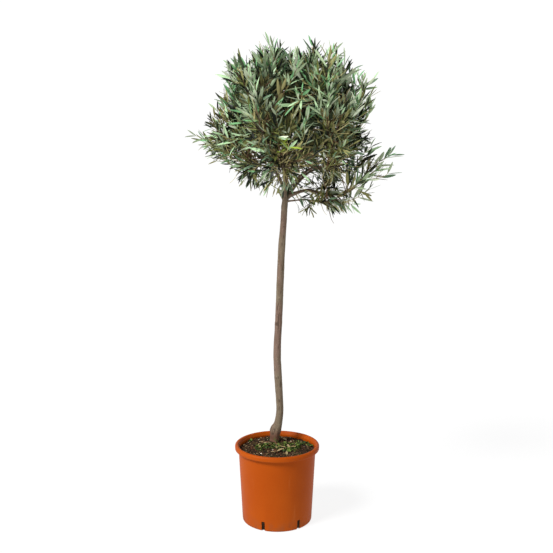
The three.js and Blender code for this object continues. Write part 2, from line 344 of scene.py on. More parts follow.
def along(paths, shares):
    """Points and directions at shares (curves, places) of evenly stepped paths (curves, steps, 3)."""
    last = paths.shape[1] - 1
    spot = np.clip(shares, 0, 1) * last
    low = np.minimum(spot.astype(int), last - 1)
    rows = np.arange(len(paths))[:, None]
    before, after = paths[rows, low], paths[rows, low + 1]
    return before + (after - before) * (spot - low)[..., None], unit(after - before)


def spread(count, rng):
    """Directions spread evenly over a ball: a golden spiral, turned at random and slightly shaken."""
    i = np.arange(count) + 0.5
    height, turn = 1 - 2 * i / count, i * math.pi * (3 - math.sqrt(5))
    out = np.sqrt(1 - height**2)
    ways = level(out[:, None] * compass(turn), height)
    turned_ball = np.linalg.qr(rng.normal(size=(3, 3)))[0]
    return unit(ways @ turned_ball + rng.normal(scale=0.6 / math.sqrt(count), size=(count, 3)))


# ---------------------------------------------------------------- meshes


def piece(name, points, faces, materials, slot, nodes=(), kinds=None, sharp=None, **attributes):
    """Makes one piece from points (n, 3) and a list of faces, each an array of corner numbers (m, 3 or 4).
    kinds numbers each face's material, and sharp says which edges, given by their ends, stay sharp."""
    mesh = bpy.data.meshes.new(name)
    corners = np.concatenate([f.ravel() for f in faces]).astype(np.int32)
    sides = np.concatenate([np.full(len(f), f.shape[1]) for f in faces])
    mesh.vertices.add(len(points))
    mesh.vertices.foreach_set("co", np.ascontiguousarray(points, np.float32).ravel())
    mesh.loops.add(len(corners))
    mesh.loops.foreach_set("vertex_index", corners)
    mesh.polygons.add(len(sides))
    mesh.polygons.foreach_set("loop_start", np.concatenate([[0], np.cumsum(sides)[:-1]]).astype(np.int32))
    for material in materials:
        mesh.materials.append(material)
    if kinds is not None:
        mesh.polygons.foreach_set("material_index", kinds.astype(np.int32))
    mesh.update(calc_edges=True)
    mesh.polygons.foreach_set("use_smooth", np.ones(len(sides), bool))
    if sharp is not None:
        ends = np.empty(len(mesh.edges) * 2, np.int32)
        mesh.edges.foreach_get("vertices", ends)
        creases = mesh.attributes.new("sharp_edge", "BOOLEAN", "EDGE")
        creases.data.foreach_set("value", sharp(ends.reshape(-1, 2)))
    for key, values in attributes.items():
        mesh.attributes.new(key, "FLOAT", "POINT").data.foreach_set("value", values.astype(np.float32))
    mesh.validate()
    made = bpy.data.objects.new(name, mesh)
    bpy.context.scene.collection.objects.link(made)
    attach(made, "root")
    if nodes:
        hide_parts(*nodes)
    return made


def closed_faces(rows, columns):
    """Faces of a closed surface of rings that are numbered row by row, with one more point to close its foot
    and one to close its tip: quads between the rings, and triangles round each of the two points."""
    here = np.arange(rows * columns).reshape(rows, columns)
    after = np.roll(here, -1, 1)
    quads = np.stack([here[:-1], after[:-1], after[1:], here[1:]], -1).reshape(-1, 4)
    foot = np.stack([np.full(columns, here.size), after[0], here[0]], -1)
    tip = np.stack([np.full(columns, here.size + 1), here[-1], after[-1]], -1)
    return [quads, foot, tip]


def repeated(faces, count, size):
    """One shape's faces, numbered on for each of many copies that have size points each."""
    return (faces[None] + (np.arange(count) * size)[:, None, None]).reshape(-1, faces.shape[1])


def tubes(paths, radii, sides):
    """Round tubes along many paths: each ring is the path's point plus its radius times cos a along one
    normal and sin a along the other, and a point closes each end. Returns points and faces."""
    count, steps = paths.shape[:2]
    ways = unit(np.gradient(paths, axis=1))
    chord = unit(paths[:, -1] - paths[:, 0])
    beside = unit(np.cross(chord, np.where(abs(chord[:, 2:]) < 0.8, UP, [1.0, 0, 0])))[:, None]
    normal = unit(beside - dot(beside, ways) * ways)
    other = np.cross(ways, normal)
    cosine, sine = circle(sides)[1].T[..., None]
    ring = cosine * normal[:, :, None] + sine * other[:, :, None]
    points = paths[:, :, None] + radii[:, :, None, None] * ring
    points = np.concatenate([points.reshape(count, -1, 3), paths[:, :1], paths[:, -1:]], 1)
    faces = [repeated(f, count, points.shape[1]) for f in closed_faces(steps, sides)]
    return points.reshape(-1, 3), faces


def corners_of(node):
    """The separate corners of a CAD node, in metres."""
    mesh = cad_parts[node].data
    points = np.empty(len(mesh.vertices) * 3)
    mesh.vertices.foreach_get("co", points)
    return np.unique(points.reshape(-1, 3).round(6), axis=0)


# ---------------------------------------------------------------- pot


def rounded(corners, steps=7):
    """A profile from rows of radius, height and rounding. Each corner becomes a curve (1-t)² before +
    2t(1-t) corner + t² after, whose ends lie the rounding's distance from it."""
    corners = np.array(corners, float)
    points, t = corners[:, :2], np.linspace(0, 1, steps)[:, None]
    rows = [points[:1]]
    for before, corner, after, radius in zip(points, points[1:], points[2:], corners[1:, 2]):
        start, end = (corner + unit(near - corner) * radius for near in (before, after))
        rows.append((1 - t) ** 2 * start + 2 * t * (1 - t) * corner + t**2 * end)
    return np.concatenate([*rows, points[-1:]])


def turned(profile, segments):
    """A closed surface from a profile of radius and height that starts and ends on the axis: each of its
    points is carried round the axis."""
    inner = profile[1:-1]
    points = level(inner[:, None, :1] * circle(segments)[1], inner[:, 1:]).reshape(-1, 3)
    ends = level(np.zeros((2, 2)), profile[[0, -1], 1])
    return np.concatenate([points, ends]), closed_faces(len(inner), segments)


def boxes(middles, turns, half):
    """Upright boxes, each turned about its own middle, as points and outward quads."""
    local = np.array(list(itertools.product((-1, 1), repeat=3)), float) * np.array(half)
    c, s = np.cos(turns)[:, None], np.sin(turns)[:, None]
    flat = np.stack([local[:, 0] * c - local[:, 1] * s, local[:, 0] * s + local[:, 1] * c], -1)
    points = level(flat, local[:, 2]) + middles[:, None]
    quads = np.array([[0, 1, 3, 2], [4, 6, 7, 5], [0, 4, 5, 1], [2, 3, 7, 6], [0, 2, 6, 4], [1, 5, 7, 3]])
    return points.reshape(-1, 3), [repeated(quads, len(middles), 8)]


# Edges of the pot that turn by more degrees than this stay sharp.
SHARP_FROM = 38


def make_pot(settings):
    """The pot's wall as one turned profile with a rolled lip, with the drain slots cut through its foot."""
    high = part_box("pot")[1]
    top, lip = high.z, high.x
    lip_foot = top - settings.lip_depth
    wall, foot = lip - 0.0125, lip - 0.025  # the wall's radius below the lip and at the foot
    raised, floor = 0.0012, 0.0035  # heights of the floor's two sides
    inner_wall, inner_foot = wall - settings.wall, foot - settings.wall
    profile = rounded(
        [
            (0, raised, 0),
            (foot - 0.016, raised, 0.001),
            (foot - 0.013, 0, 0.001),
            (foot, 0, 0.006),
            (wall, lip_foot - 0.004, 0.002),
            (wall + 0.0015, lip_foot, 0.002),
            (lip - 0.0005, lip_foot + 0.001, 0.003),
            (lip, top, 0.0075),
            (lip - 0.0105, top, 0.004),
            (inner_wall - 0.0005, lip_foot + 0.006, 0.003),
            (inner_wall, lip_foot, 0.004),
            (inner_foot, floor, 0.004),
            (0, floor, 0),
        ]
    )
    points, faces = turned(profile, 160)
    pot = piece("pot_shell", points, faces, [pot_plastic(settings)], "pot", ["pot"])
    turns = np.radians(settings.first_slot) + circle(settings.slots)[0]
    middles = level(foot * compass(turns), 0)
    half = (0.012, settings.slot_width / 2, settings.slot_height)
    cutter = piece("slot_cutter", *boxes(middles, turns, half), [], "pot")
    cut = pot.modifiers.new("slots", "BOOLEAN")
    cut.object = cutter
    cut.solver = "EXACT"
    made = bpy.data.meshes.new_from_object(pot.evaluated_get(bpy.context.evaluated_depsgraph_get()))
    pot.modifiers.clear()
    pot.data = made
    bpy.data.objects.remove(cutter)
    made.polygons.foreach_set("use_smooth", np.ones(len(made.polygons), bool))
    made.set_sharp_from_angle(angle=math.radians(SHARP_FROM))


# ---------------------------------------------------------------- soil


def stem_foot():
    """The middle of the trunk's flat cut on the soil, and its greatest reach."""
    corners = corners_of("trunk")
    cut = corners[corners[:, 2] < corners[:, 2].min() + 1e-4]
    middle = cut.mean(0)
    return middle, np.linalg.norm(cut - middle, axis=1).max()


# How far the level soil lies below the stem's flat cut, and how high and wide the mound round the stem is.
SUNK, MOUND_RISE, MOUND_REACH = 0.0105, 0.0085, 0.1


def soil_height(flat):
    """Height of the soil at places (..., 2): level by the wall, a smooth mound up to the stem, and crumbs of
    three sizes."""
    foot, reach = stem_foot()
    mound = 1 - smooth(reach, MOUND_REACH, np.linalg.norm(flat - foot[:2], axis=-1))
    height = foot[2] - SUNK + MOUND_RISE * mound
    for rise, size, seed in ((0.0016, 0.014, 3), (0.0012, 0.0058, 4), (0.0006, 0.0024, 5)):
        height = height + rise * lattice_noise(level(flat, 0), size, seed)
    return height


def make_soil():
    """The soil as one closed block: an uneven top, a side just inside the pot's wall and a flat underside."""
    low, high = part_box("soil")
    rows, columns = 90, 300
    ring = circle(columns)[1]
    share = np.linspace(0, 1, rows + 1)[1:, None, None] ** 0.8
    top = high.x * share * ring
    down = np.array([[high.x * 0.985, 0.16], [high.x * 0.905, low.z]])
    points = np.concatenate([level(top, soil_height(top)), level(down[:, None, :1] * ring, down[:, 1:])])
    middle = np.zeros((2, 2))
    points = np.concatenate([points.reshape(-1, 3), level(middle, [soil_height(middle)[0], low.z])])
    faces = [f[:, ::-1] for f in closed_faces(rows + 2, columns)]
    piece("soil_bed", points, faces, [soil_crumb()], "soil", ["soil"])


def scatter(count, rng, edge=0.006):
    """Random places on the soil, this far inside its edge and clear of the stem, with their heights."""
    foot, reach = stem_foot()
    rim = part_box("soil")[1].x
    angle, share = rng.uniform(0, 2 * math.pi, count * 2), np.sqrt(rng.uniform(0, 1, count * 2))
    flat = (rim - edge) * share[:, None] * compass(angle)
    flat = flat[np.linalg.norm(flat - foot[:2], axis=1) > reach][:count]
    return level(flat, soil_height(flat))


def lumps(places, sizes, rng):
    """Small angular lumps: a ball of twelve corners (±1, ± the golden ratio and 0, for each turn of the
    axes), pushed in and out, squashed and turned at random. Three corners make a face where all are near."""
    golden = (1 + math.sqrt(5)) / 2
    ball = np.array([[a, b * golden, 0] for a in (-1, 1) for b in (-1, 1)], float)
    ball = unit(np.concatenate([ball, ball[:, [2, 0, 1]], ball[:, [1, 2, 0]]]))
    apart = np.linalg.norm(ball[:, None] - ball[None], axis=-1)
    near = apart < np.sort(apart.ravel())[12] * 1.05
    faces = np.array([f for f in itertools.combinations(range(12), 3) if near[np.ix_(f, f)].all()])
    a, b, c = (ball[faces[:, i]] for i in range(3))
    inward = dot(np.cross(b - a, c - a), a)[:, 0] < 0
    faces[inward] = faces[inward, ::-1]
    shape = ball * rng.uniform(0.7, 1.25, (len(places), 12, 1))
    shape = shape * rng.uniform(0.5, 1.3, (len(places), 1, 3)) * np.array([1, 1, 0.7])
    turns = np.linalg.qr(rng.normal(size=(len(places), 3, 3)))[0]
    turns = turns * np.linalg.det(turns)[:, None, None]
    points = places[:, None] + (shape @ turns) * sizes[:, None, None]
    return points.reshape(-1, 3), [repeated(faces, len(places), 12)]


def make_litter(settings):
    """What lies on the soil: crumbs and bark chips, tufts of small weeds, and a few fallen leaves."""
    rng = np.random.default_rng(41)
    shades = {"dark": "20170f", "brown": "4a3421", "red": "5c3322", "tan": "7d6a4c", "white": "c9bfae"}
    materials = [plain("crumb_" + key, code, 0.9, 0.2) for key, code in shades.items()]
    places = scatter(settings.crumbs, rng)
    sizes = rng.gamma(3.0, 0.0006, len(places)).clip(0.0008, 0.0042)
    kind = rng.choice(5, len(places), p=(0.38, 0.31, 0.2, 0.095, 0.015))
    points, faces = lumps(places, sizes, rng)
    kinds = np.repeat(kind, len(faces[0]) // len(places))
    piece("soil_crumbs", points, faces, materials, "soil", kinds=kinds)

    tufts = scatter(settings.tufts, rng)
    tufts = tufts[lattice_noise(tufts * [1, 1, 0], 0.05, 9) > -0.3]
    blades = np.repeat(tufts, 7, 0) + rng.normal(scale=[0.0035, 0.0035, 0.0003], size=(len(tufts) * 7, 3))
    ways = unit(rng.normal(size=blades.shape) * [1, 1, 0.4] + 0.65 * UP)
    faces_up = unit(UP + 0.4 * rng.normal(size=blades.shape))
    sizes = rng.uniform(0.004, 0.0095, len(blades))
    greens = [plain("moss_light", "5f7030", 0.7, 0.15), plain("moss_dark", "2f3d1b", 0.7, 0.15)]
    shades = rng.integers(0, 2, len(blades))
    leaf_piece("soil_weeds", blades, ways, faces_up, sizes, sizes * 0.42, greens, shades, "soil")

    fallen = scatter(settings.fallen, rng, 0.05) + 0.003 * UP
    ways = unit(rng.normal(size=fallen.shape) * [1, 1, 0.12])
    dry = [plain("dry_leaf", "9a8660", 0.6, 0.2), plain("dry_leaf_dark", "665233", 0.6, 0.2)]
    shades = rng.integers(0, 2, len(fallen))
    size = rng.uniform(0.02, 0.038, len(fallen))
    leaf_piece("fallen_leaves", fallen, ways, UP + 0 * ways, size, size * 0.13, dry, shades, "soil")


# ---------------------------------------------------------------- bark


class Stem:
    """The trunk's middle line and outline, read from the level rings of its CAD node."""

    def __init__(self):
        corners = corners_of("trunk")
        heights, ring = np.unique(corners[:, 2].round(5), return_inverse=True)
        count = np.bincount(ring)
        self.heights = heights
        self.middles = np.stack([np.bincount(ring, corners[:, i]) / count for i in range(2)], -1)
        out = corners[:, :2] - self.middles[ring]
        radius, angle = np.hypot(*out.T), np.arctan2(out[:, 1], out[:, 0])
        waves = [radius * wave(n * angle) for n in range(4) for wave in (np.cos, np.sin)]
        self.waves = np.stack([np.bincount(ring, wave) / count for wave in waves], -1)
        self.waves[:, 2:] *= 2

    def at(self, heights):
        """The middle points at these heights."""
        flat = [np.interp(heights, self.heights, column) for column in self.middles.T]
        return np.stack([*flat, heights], -1)

    def radius(self, heights, angles):
        """Radius at heights (rows, 1) and angles (columns): a sum of cos na and sin na for n up to 3."""
        total = 0
        for i, wave in enumerate((np.cos, np.sin) * 4):
            total = total + np.interp(heights, self.heights, self.waves[:, i]) * wave((i // 2) * angles)
        return total * 1.03


def evened(rows, width):
    """Each column averaged over a sliding window of this odd number of rows, with its ends held."""
    weights = np.hanning(width + 2)[1:-1]
    padded = np.pad(rows, ((width // 2, width // 2), (0, 0)), mode="edge")
    columns = [np.convolve(column, weights / weights.sum(), "valid") for column in padded.T]
    return np.stack(columns, -1)


# Knots and pruning scars on the stem: height, angle (270 is the front), size and bulge.
KNOTS = [
    (0.297, 192, 0.0095, 0.0095),
    (0.279, 238, 0.0110, 0.0022),
    (0.402, 292, 0.0050, 0.0010),
    (0.472, 246, 0.0055, 0.0012),
    (0.588, 300, 0.0050, 0.0010),
    (0.655, 200, 0.0060, 0.0013),
    (0.738, 262, 0.0052, 0.0011),
    (0.846, 318, 0.0055, 0.0012),
    (0.905, 228, 0.0048, 0.0010),
    (0.978, 282, 0.0060, 0.0014),
    (1.042, 210, 0.0060, 0.0016),
    (0.530, 95, 0.0060, 0.0013),
    (0.790, 60, 0.0055, 0.0012),
]


def bark_relief(points, depth):
    """Height of the bark: long low swells, upright furrows cut where noise drawn out along the limb is low,
    and fine grain. Returns it with the furrows' depth from 0 to 1, which also sets the painted shade in them."""
    drawn = points * np.array([1, 1, 0.16])
    swell = 0.55 * depth * lattice_noise(points, 0.03, 11)
    crease = lattice_noise(drawn, 0.0042, 12) + 0.5 * lattice_noise(drawn, 0.0021, 13)
    furrow = smooth(0.25, 0.95, -crease)
    grain = 0.22 * depth * lattice_noise(points * np.array([1, 1, 0.5]), 0.0016, 14)
    return swell + 0.35 * depth * crease - 0.6 * depth * furrow + grain, furrow


def make_trunk(settings):
    """The stem: level rings over its height, each the CAD outline plus the bark's relief. A knot adds its
    bulge times exp(-d²) less 0.75 exp(-(d / 0.42)²), where d is the distance from it in its own sizes."""
    stem = Stem()
    rows, columns = 640, 72
    low, high = stem.heights[[0, -1]]
    share = np.linspace(0, 1, rows)
    heights = low + (high - low) * share
    angle, ring = circle(columns)
    middle = evened(stem.at(heights)[:, :2], 31)
    radius = evened(stem.radius(heights[:, None], angle), 17)
    radius[-1] = 0.0006
    radius *= 1 - 0.24 * (1 - smooth(low, low + 0.04, heights))[:, None]
    points = level(middle[:, None] + radius[..., None] * ring, heights[:, None])
    relief, furrow = bark_relief(points, settings.relief)
    for height, turn, size, bulge in KNOTS:
        across = (angle - math.radians(turn) + math.pi) % (2 * math.pi) - math.pi
        away = np.hypot(across * radius, (heights[:, None] - height) * 0.8) / size
        relief = relief + bulge * (np.exp(-(away**2)) - 0.75 * np.exp(-((away / 0.42) ** 2)))
        # A knot's hollow also gets painted shade.
        furrow = np.maximum(furrow, np.exp(-((away / 0.4) ** 2)))
    relief = relief * smooth(0, 0.02, 1 - share)[:, None]
    points[..., :2] += relief[..., None] * ring
    points = np.concatenate([points.reshape(-1, 3), stem.at(heights[[0, -1]])])
    bark = olive_bark("stem_bark", settings)
    furrow = np.append(furrow, [0, 0])
    piece("trunk_bark", points, closed_faces(rows, columns), [bark], "bark", ["trunk"], furrow=furrow)


# Rings along each bough.
BOUGH_RINGS = 72


class Bough:
    """A bough's line from inside the trunk, along a curve fitted to its CAD node's corners and on to the
    middle of its mass, with its thickness, its length and the share of it at which it enters the mass."""

    def __init__(self, name, stem, middle):
        corners = corners_of("bough_" + name)
        axis = stem.at(corners[:, 2])
        start = corners[np.linalg.norm(corners - axis, axis=1).argmin()]
        end = corners[np.linalg.norm(corners - start, axis=1).argmax()]
        chord = end - start
        share = ((corners - start) @ chord) / (chord @ chord)
        degree = 5 if np.linalg.norm(chord) > 0.2 else 3
        fit = np.polynomial.polynomial.polyfit(share, corners, degree)
        t = np.linspace(0.02, 0.98, 40)
        seen = np.polynomial.polynomial.polyval(t, fit).T
        way = unit(seen[-1] - seen[-3])
        gap = np.linalg.norm(middle - seen[-1])
        inside = bezier(seen[-1], seen[-1] + way * gap * 0.4, middle - way * gap * 0.2, middle, 24)[0]
        root = seen[0] - unit(seen[1] - seen[0]) * np.linspace(0.014, 0.002, 6)[:, None]
        line = np.concatenate([root, seen, inside[1:]])
        self.line = self.even(evened(line, 5), BOUGH_RINGS)
        on_line = np.polynomial.polynomial.polyval(np.clip(share, 0, 1), fit).T
        self.thick = np.median(np.linalg.norm(corners - on_line, axis=1)) * 1.12
        self.length = np.linalg.norm(np.diff(self.line, axis=0), axis=1).sum()
        self.entry = 1 - gap / self.length

    @staticmethod
    def even(line, steps):
        """The same line with its points at even distances."""
        distance = np.concatenate([[0], np.cumsum(np.linalg.norm(np.diff(line, axis=0), axis=1))])
        wanted = np.linspace(0, distance[-1], steps)
        return np.stack([np.interp(wanted, distance, line[:, i]) for i in range(3)], -1)


def make_boughs(settings):
    """The boughs as tubes that wander a little, with a collar at the stem, a taper from 1.18 to 0.5 of their
    thickness and the bark's relief."""
    stem = Stem()
    boughs = [Bough(name, stem, middle) for name, middle in zip(MASSES, Head().middles)]
    lines = np.stack([bough.line for bough in boughs])
    thick = np.array([bough.thick for bough in boughs])[:, None]
    share = np.linspace(0, 1, BOUGH_RINGS)
    rng = np.random.default_rng(7)
    wander = np.stack([lattice_noise(lines, 0.05, 21 + i) for i in range(3)], -1)
    lines = lines + 0.0035 * wander * (smooth(0, 0.2, share) * smooth(0, 0.15, 1 - share))[:, None]
    radii = thick * (1.18 - 0.68 * share + 0.75 * np.exp(-share / 0.05))
    radii = radii * (1 + 0.05 * rng.normal(size=radii.shape))
    sides = 20
    points, faces = tubes(lines, radii, sides)
    shaped = points.reshape(len(boughs), -1, 3)
    rings = shaped[:, :-2].reshape(len(boughs), BOUGH_RINGS, sides, 3)
    relief, furrow = bark_relief(rings, settings.relief * 0.55)
    rings += relief[..., None] * unit(rings - lines[:, :, None])
    furrow = np.pad(furrow.reshape(len(boughs), -1), ((0, 0), (0, 2))).ravel()
    bark = olive_bark("bough_bark", settings, 0.75)
    nodes = ["bough_" + name for name in MASSES]
    piece("boughs_bark", shaped.reshape(-1, 3), faces, [bark], "bark", nodes, furrow=furrow)


# ---------------------------------------------------------------- growth


class Head:
    """The head of foliage, read from its CAD masses: their corners and middles, and how far the head
    reaches from its own middle."""

    def __init__(self):
        self.corners = [corners_of("foliage_" + name) for name in MASSES]
        self.middles = np.stack([corners.mean(0) for corners in self.corners])
        self.tiers = np.array([name.split("_")[0] for name in MASSES])
        away = [corners - middle for corners, middle in zip(self.corners, self.middles)]
        self.spans = np.array([np.linalg.norm(a, axis=1).mean() for a in away])
        every = np.concatenate(self.corners)
        self.middle = (every.min(0) + every.max(0)) / 2
        self.far = np.linalg.norm(every - self.middle, axis=1)
        self.ways = unit(every - self.middle)

    def reach(self, ways, cone=8):
        """Distance to the skin: the farthest corner within a cone of so many degrees round each direction, or
        else the nearest direction's corner."""
        turn = ways @ self.ways.T
        close = np.where(turn > math.cos(math.radians(cone)), self.far, 0).max(1)
        return np.where(close > 0, close, self.far[turn.argmax(1)])

    def depth(self, points):
        """How deep points lie inside the head: 0 at the skin and 1 in the middle."""
        away = points - self.middle
        return 1 - np.linalg.norm(away, axis=1) / self.reach(unit(away))

    def owner(self, points):
        """The number of the mass that each point lies nearest to, for the mass's size."""
        return (np.linalg.norm(points[:, None] - self.middles, axis=-1) / self.spans).argmin(1)

    def habit(self, owners, key):
        """One column of HABITS, for the mass with each of these numbers."""
        return np.array([HABITS[tier][HABIT_KEYS.index(key)] for tier in self.tiers])[owners]


def side_way(ways, rng):
    """A random direction square to each of these."""
    side = rng.normal(size=ways.shape)
    return unit(side - dot(side, ways) * ways)


def grow_limbs(head, lines, settings):
    """Limbs leave each bough inside its mass and fan out to between 0.4 and 0.8 of the way to the skin."""
    limbs = []
    for number, (line, corners, middle) in enumerate(zip(lines, head.corners, head.middles)):
        rng = np.random.default_rng([settings.seed, number])
        ends = corners[rng.choice(len(corners), settings.limbs, replace=False)]
        ends = middle + (ends - middle) * rng.uniform(0.4, 0.8, (settings.limbs, 1))
        share = line.entry + (1 - line.entry) * rng.uniform(0, 1.0, (1, settings.limbs))
        starts, heading = (a[0] for a in along(line.line[None], share))
        ways = unit(ends - starts)
        keep = dot(ways, heading)[:, 0] > -0.4
        starts, heading, ends, ways = starts[keep], heading[keep], ends[keep], ways[keep]
        length = np.linalg.norm(ends - starts, axis=1)[:, None]
        arrive = ends - unit(ways + heading) * length * 0.3
        limbs.append(bezier(starts, starts + heading * length * 0.45, arrive, ends, 12))
    return np.concatenate(limbs)


def low_inside(points, root):
    """1 low down near the stem, falling smoothly to 0 higher up and further out."""
    aside = np.hypot(*(points - root)[:, :2].T)
    return smooth(0.32, 0.16, points[:, 2] - root[2]) * smooth(0.23, 0.1, aside)


# How far a shoot's wood ends short of the skin, for its last leaves to reach it.
SHORT = 0.022


def grow_shoots(head, limbs, root, settings):
    """Shoots end all through the head, most of them near its skin: a third spread evenly over the head, the
    others over the masses by their size, and one at each mass's farthest corner and each plume. They end
    pointing out from the fork, turned up or down by their tier's lift, and start on the limb that suits them
    best. Returns their paths and the numbers of their masses."""
    rng = np.random.default_rng([settings.seed, 99])
    ways = spread(settings.shoots // 3, rng)
    depth = 1 - settings.inner * rng.random((len(ways), 1)) ** 2
    uneven = rng.normal(-0.008, 0.018, depth.shape).clip(-0.05, 0.012)
    skin = head.middle + ways * (head.reach(ways)[:, None] + uneven) * depth
    share = head.spans**2 / (head.spans**2).sum()
    owners = rng.choice(len(MASSES), settings.shoots - len(ways), p=share)
    marks = np.stack([head.corners[owner][rng.integers(len(head.corners[owner]))] for owner in owners])
    away = marks - head.middles[owners]
    depth = 1 - settings.inner * rng.random((len(marks), 1)) ** 2
    inset = rng.normal(0.006, 0.01, depth.shape) / np.linalg.norm(away, axis=1, keepdims=True)
    marks = head.middles[owners] + away * (depth - inset)
    ways = np.concatenate([ways, unit(unit(away) + unit(marks - head.middle))])
    skin = np.concatenate([skin, marks])
    tails = np.stack([c[np.linalg.norm(c - head.middle, axis=1).argmax()] for c in head.corners])
    tails = np.concatenate([tails, PLUMES])
    out = unit(unit(tails - head.middles[head.owner(tails)]) + unit(tails - head.middle))
    ways = np.concatenate([ways, out])
    skin = np.concatenate([skin, tails - out * 0.012])
    owners = head.owner(skin)
    tail = np.arange(len(skin)) >= len(skin) - len(tails)
    keep = tail | (rng.random(len(skin)) < head.habit(owners, "full"))
    aside = np.hypot(*(skin - root)[:, :2].T)
    keep &= (aside > settings.fork) | (skin[:, 2] > root[2] + 0.06)
    keep &= tail | (rng.random(len(skin)) > settings.thinned * low_inside(skin, root))
    ways, skin, owners, tail = ways[keep], skin[keep], owners[keep], tail[keep]
    final = unit(unit(skin - root) + head.habit(owners, "lift")[:, None] * UP)
    final = unit(final + 0.25 * ways + rng.normal(scale=0.2, size=ways.shape))
    final = np.where(tail[:, None], unit(ways + 0.2 * UP), final)
    tips = skin - final * SHORT
    wanted = tips - final * rng.uniform(0.07, 0.14, (len(tips), 1))
    spots, headings = along(limbs, np.tile(np.linspace(0.12, 1, 12), (len(limbs), 1)))
    spots, headings = spots.reshape(-1, 3), headings.reshape(-1, 3)
    apart = np.linalg.norm(wanted[:, None] - spots[None], axis=-1)
    best = (apart + 0.03 * (1 - final @ headings.T) + rng.uniform(0, 0.02, apart.shape)).argmin(1)
    starts, heading = spots[best], headings[best]
    length = np.linalg.norm(tips - starts, axis=1)[:, None]
    leave = starts + unit(heading + unit(tips - starts)) * length * 0.3
    return bezier(starts, leave, tips - final * length * 0.5, tips, 14), owners


def grow_side(paths, low, high, length, lift, rng):
    """Side twigs: each leaves its path at a share from low to high, stands off at about 45 degrees and
    bends back along it, turned up or down by lift."""
    spots, headings = along(paths, rng.uniform(low, high, (len(paths), 1)))
    spots, headings = spots[:, 0], headings[:, 0]
    side = side_way(headings, rng)
    rise = np.broadcast_to(lift, len(paths))[:, None] * UP
    way = unit(0.85 * headings + 0.8 * side + rise)
    long = rng.uniform(*length, (len(spots), 1))
    ends = spots + way * long
    leave = spots + unit(headings + side) * long * 0.4
    return bezier(spots, leave, ends - unit(way + headings * 0.5 + rise) * long * 0.4, ends, 7)


def grow(settings):
    """Grows the whole head by one rule: boughs, limbs, shoots, leafy and bare twiglets, and leafy sprigs
    straight from the low boughs. Returns the head, the limbs, the shoots and the leafy twiglets, these two
    with the numbers of their masses, and the bare twigs."""
    stem, head = Stem(), Head()
    root = stem.at(np.array([FORK]))[0]
    boughs = [Bough(name, stem, middle) for name, middle in zip(MASSES, head.middles)]
    limbs = grow_limbs(head, boughs, settings)
    inside = [bough.line[int(bough.entry * (BOUGH_RINGS - 1)) :] for bough in boughs]
    spars = np.concatenate([limbs, np.stack([Bough.even(line, limbs.shape[1]) for line in inside])])
    shoots, owners = grow_shoots(head, spars, root, settings)
    rng = np.random.default_rng([settings.seed, 100])
    lift = 0.5 * head.habit(owners, "lift")

    def on_shoots(counts, low, high, length):
        """This many side twigs on each shoot."""
        return grow_side(np.repeat(shoots, counts, 0), low, high, length, np.repeat(lift, counts), rng)

    leafy = [on_shoots(settings.twiglets, 0.25, 0.7, (0.02, 0.045))]
    leafy_owners = [np.repeat(owners, settings.twiglets)]
    for number, bough in enumerate(boughs):
        if head.tiers[number] in LOW_TIERS:
            clear = 0.03 / bough.length
            count = max(int((bough.entry - clear) * bough.length / settings.sprigs), 0)
            line = np.repeat(bough.line[None], count, 0)
            leafy.append(grow_side(line, clear, bough.entry, (0.025, 0.06), -0.35, rng))
            leafy_owners.append(np.full(count, number))
    bare = [on_shoots(head.habit(owners, "bare").astype(int), 0.0, 0.5, (0.025, 0.06))]
    bare.append(grow_side(np.repeat(limbs, 2, 0), 0.1, 0.8, (0.03, 0.07), 0.1, rng))
    bare = np.concatenate(bare)
    bare = bare[rng.random(len(bare)) > 0.6 * low_inside(bare[:, -1], root)]
    return head, limbs, (shoots, owners), (np.concatenate(leafy), np.concatenate(leafy_owners)), bare


def make_twigs(settings):
    """Limbs, shoots and twiglets as thin tubes: each tapers evenly to 0.45 of its thickness at the tip."""
    _, limbs, (shoots, _), (twiglets, _), bare = grow(settings)
    brown = [plain("limb_bark", "4e4435", 0.85, 0.15)]
    pale = [
        plain("shoot_pale", "bdb27c", 0.7, 0.15),
        plain("shoot_green", "80854f", 0.7, 0.15),
        plain("shoot_brown", "634a35", 0.75, 0.15),
    ]
    rng = np.random.default_rng(5)
    for name, paths, materials, thick, sides in (
        ("limb_wood", limbs, brown, 0.0024, 7),
        ("shoot_wood", shoots, pale, 0.0016, 6),
        ("twiglet_wood", twiglets, pale, 0.0009, 5),
        ("bare_twig_wood", bare, pale, 0.0011, 4),
    ):
        share = np.linspace(0, 1, paths.shape[1])
        radii = rng.uniform(0.8, 1.25, (len(paths), 1)) * thick * (1 - 0.55 * share)
        points, faces = tubes(paths, radii, sides)
        kind = rng.choice(3, len(paths), p=(0.36, 0.3, 0.34)) % len(materials)
        kinds = np.concatenate([np.repeat(kind, len(f) // len(paths)) for f in faces])
        piece(name, points, faces, materials, "bark", kinds=kinds)


# ---------------------------------------------------------------- leaves


def leaf_shape():
    """One leaf as a closed surface of six rings of four points and a point at each end: two margins, the fold
    between them and a point below the fold. Columns are u along it from 0 to 1, v across it from -1 to 1, the
    height above the fold in half widths, and 1 below the fold. Returns them with the faces, and for each face
    whether it is on the under side."""
    rows = np.array([0.08, 0.25, 0.43, 0.61, 0.79, 0.93])
    half = np.array([0.3, 0.8, 1.0, 0.95, 0.7, 0.33])
    ring = np.array([[-1, 0.22, 0], [0, 0, 0], [1, 0.22, 0], [0, 0, 1]])
    points = np.concatenate([np.repeat(rows, 4)[:, None], np.tile(ring, (6, 1))], 1)
    points[:, 1:3] *= np.repeat(half, 4)[:, None]
    points = np.concatenate([points, [[0, 0, 0, 0], [1, 0, 0, 0]]])
    faces = closed_faces(6, 4)
    return points, faces, [np.arange(len(f)) % 4 >= 2 for f in faces]


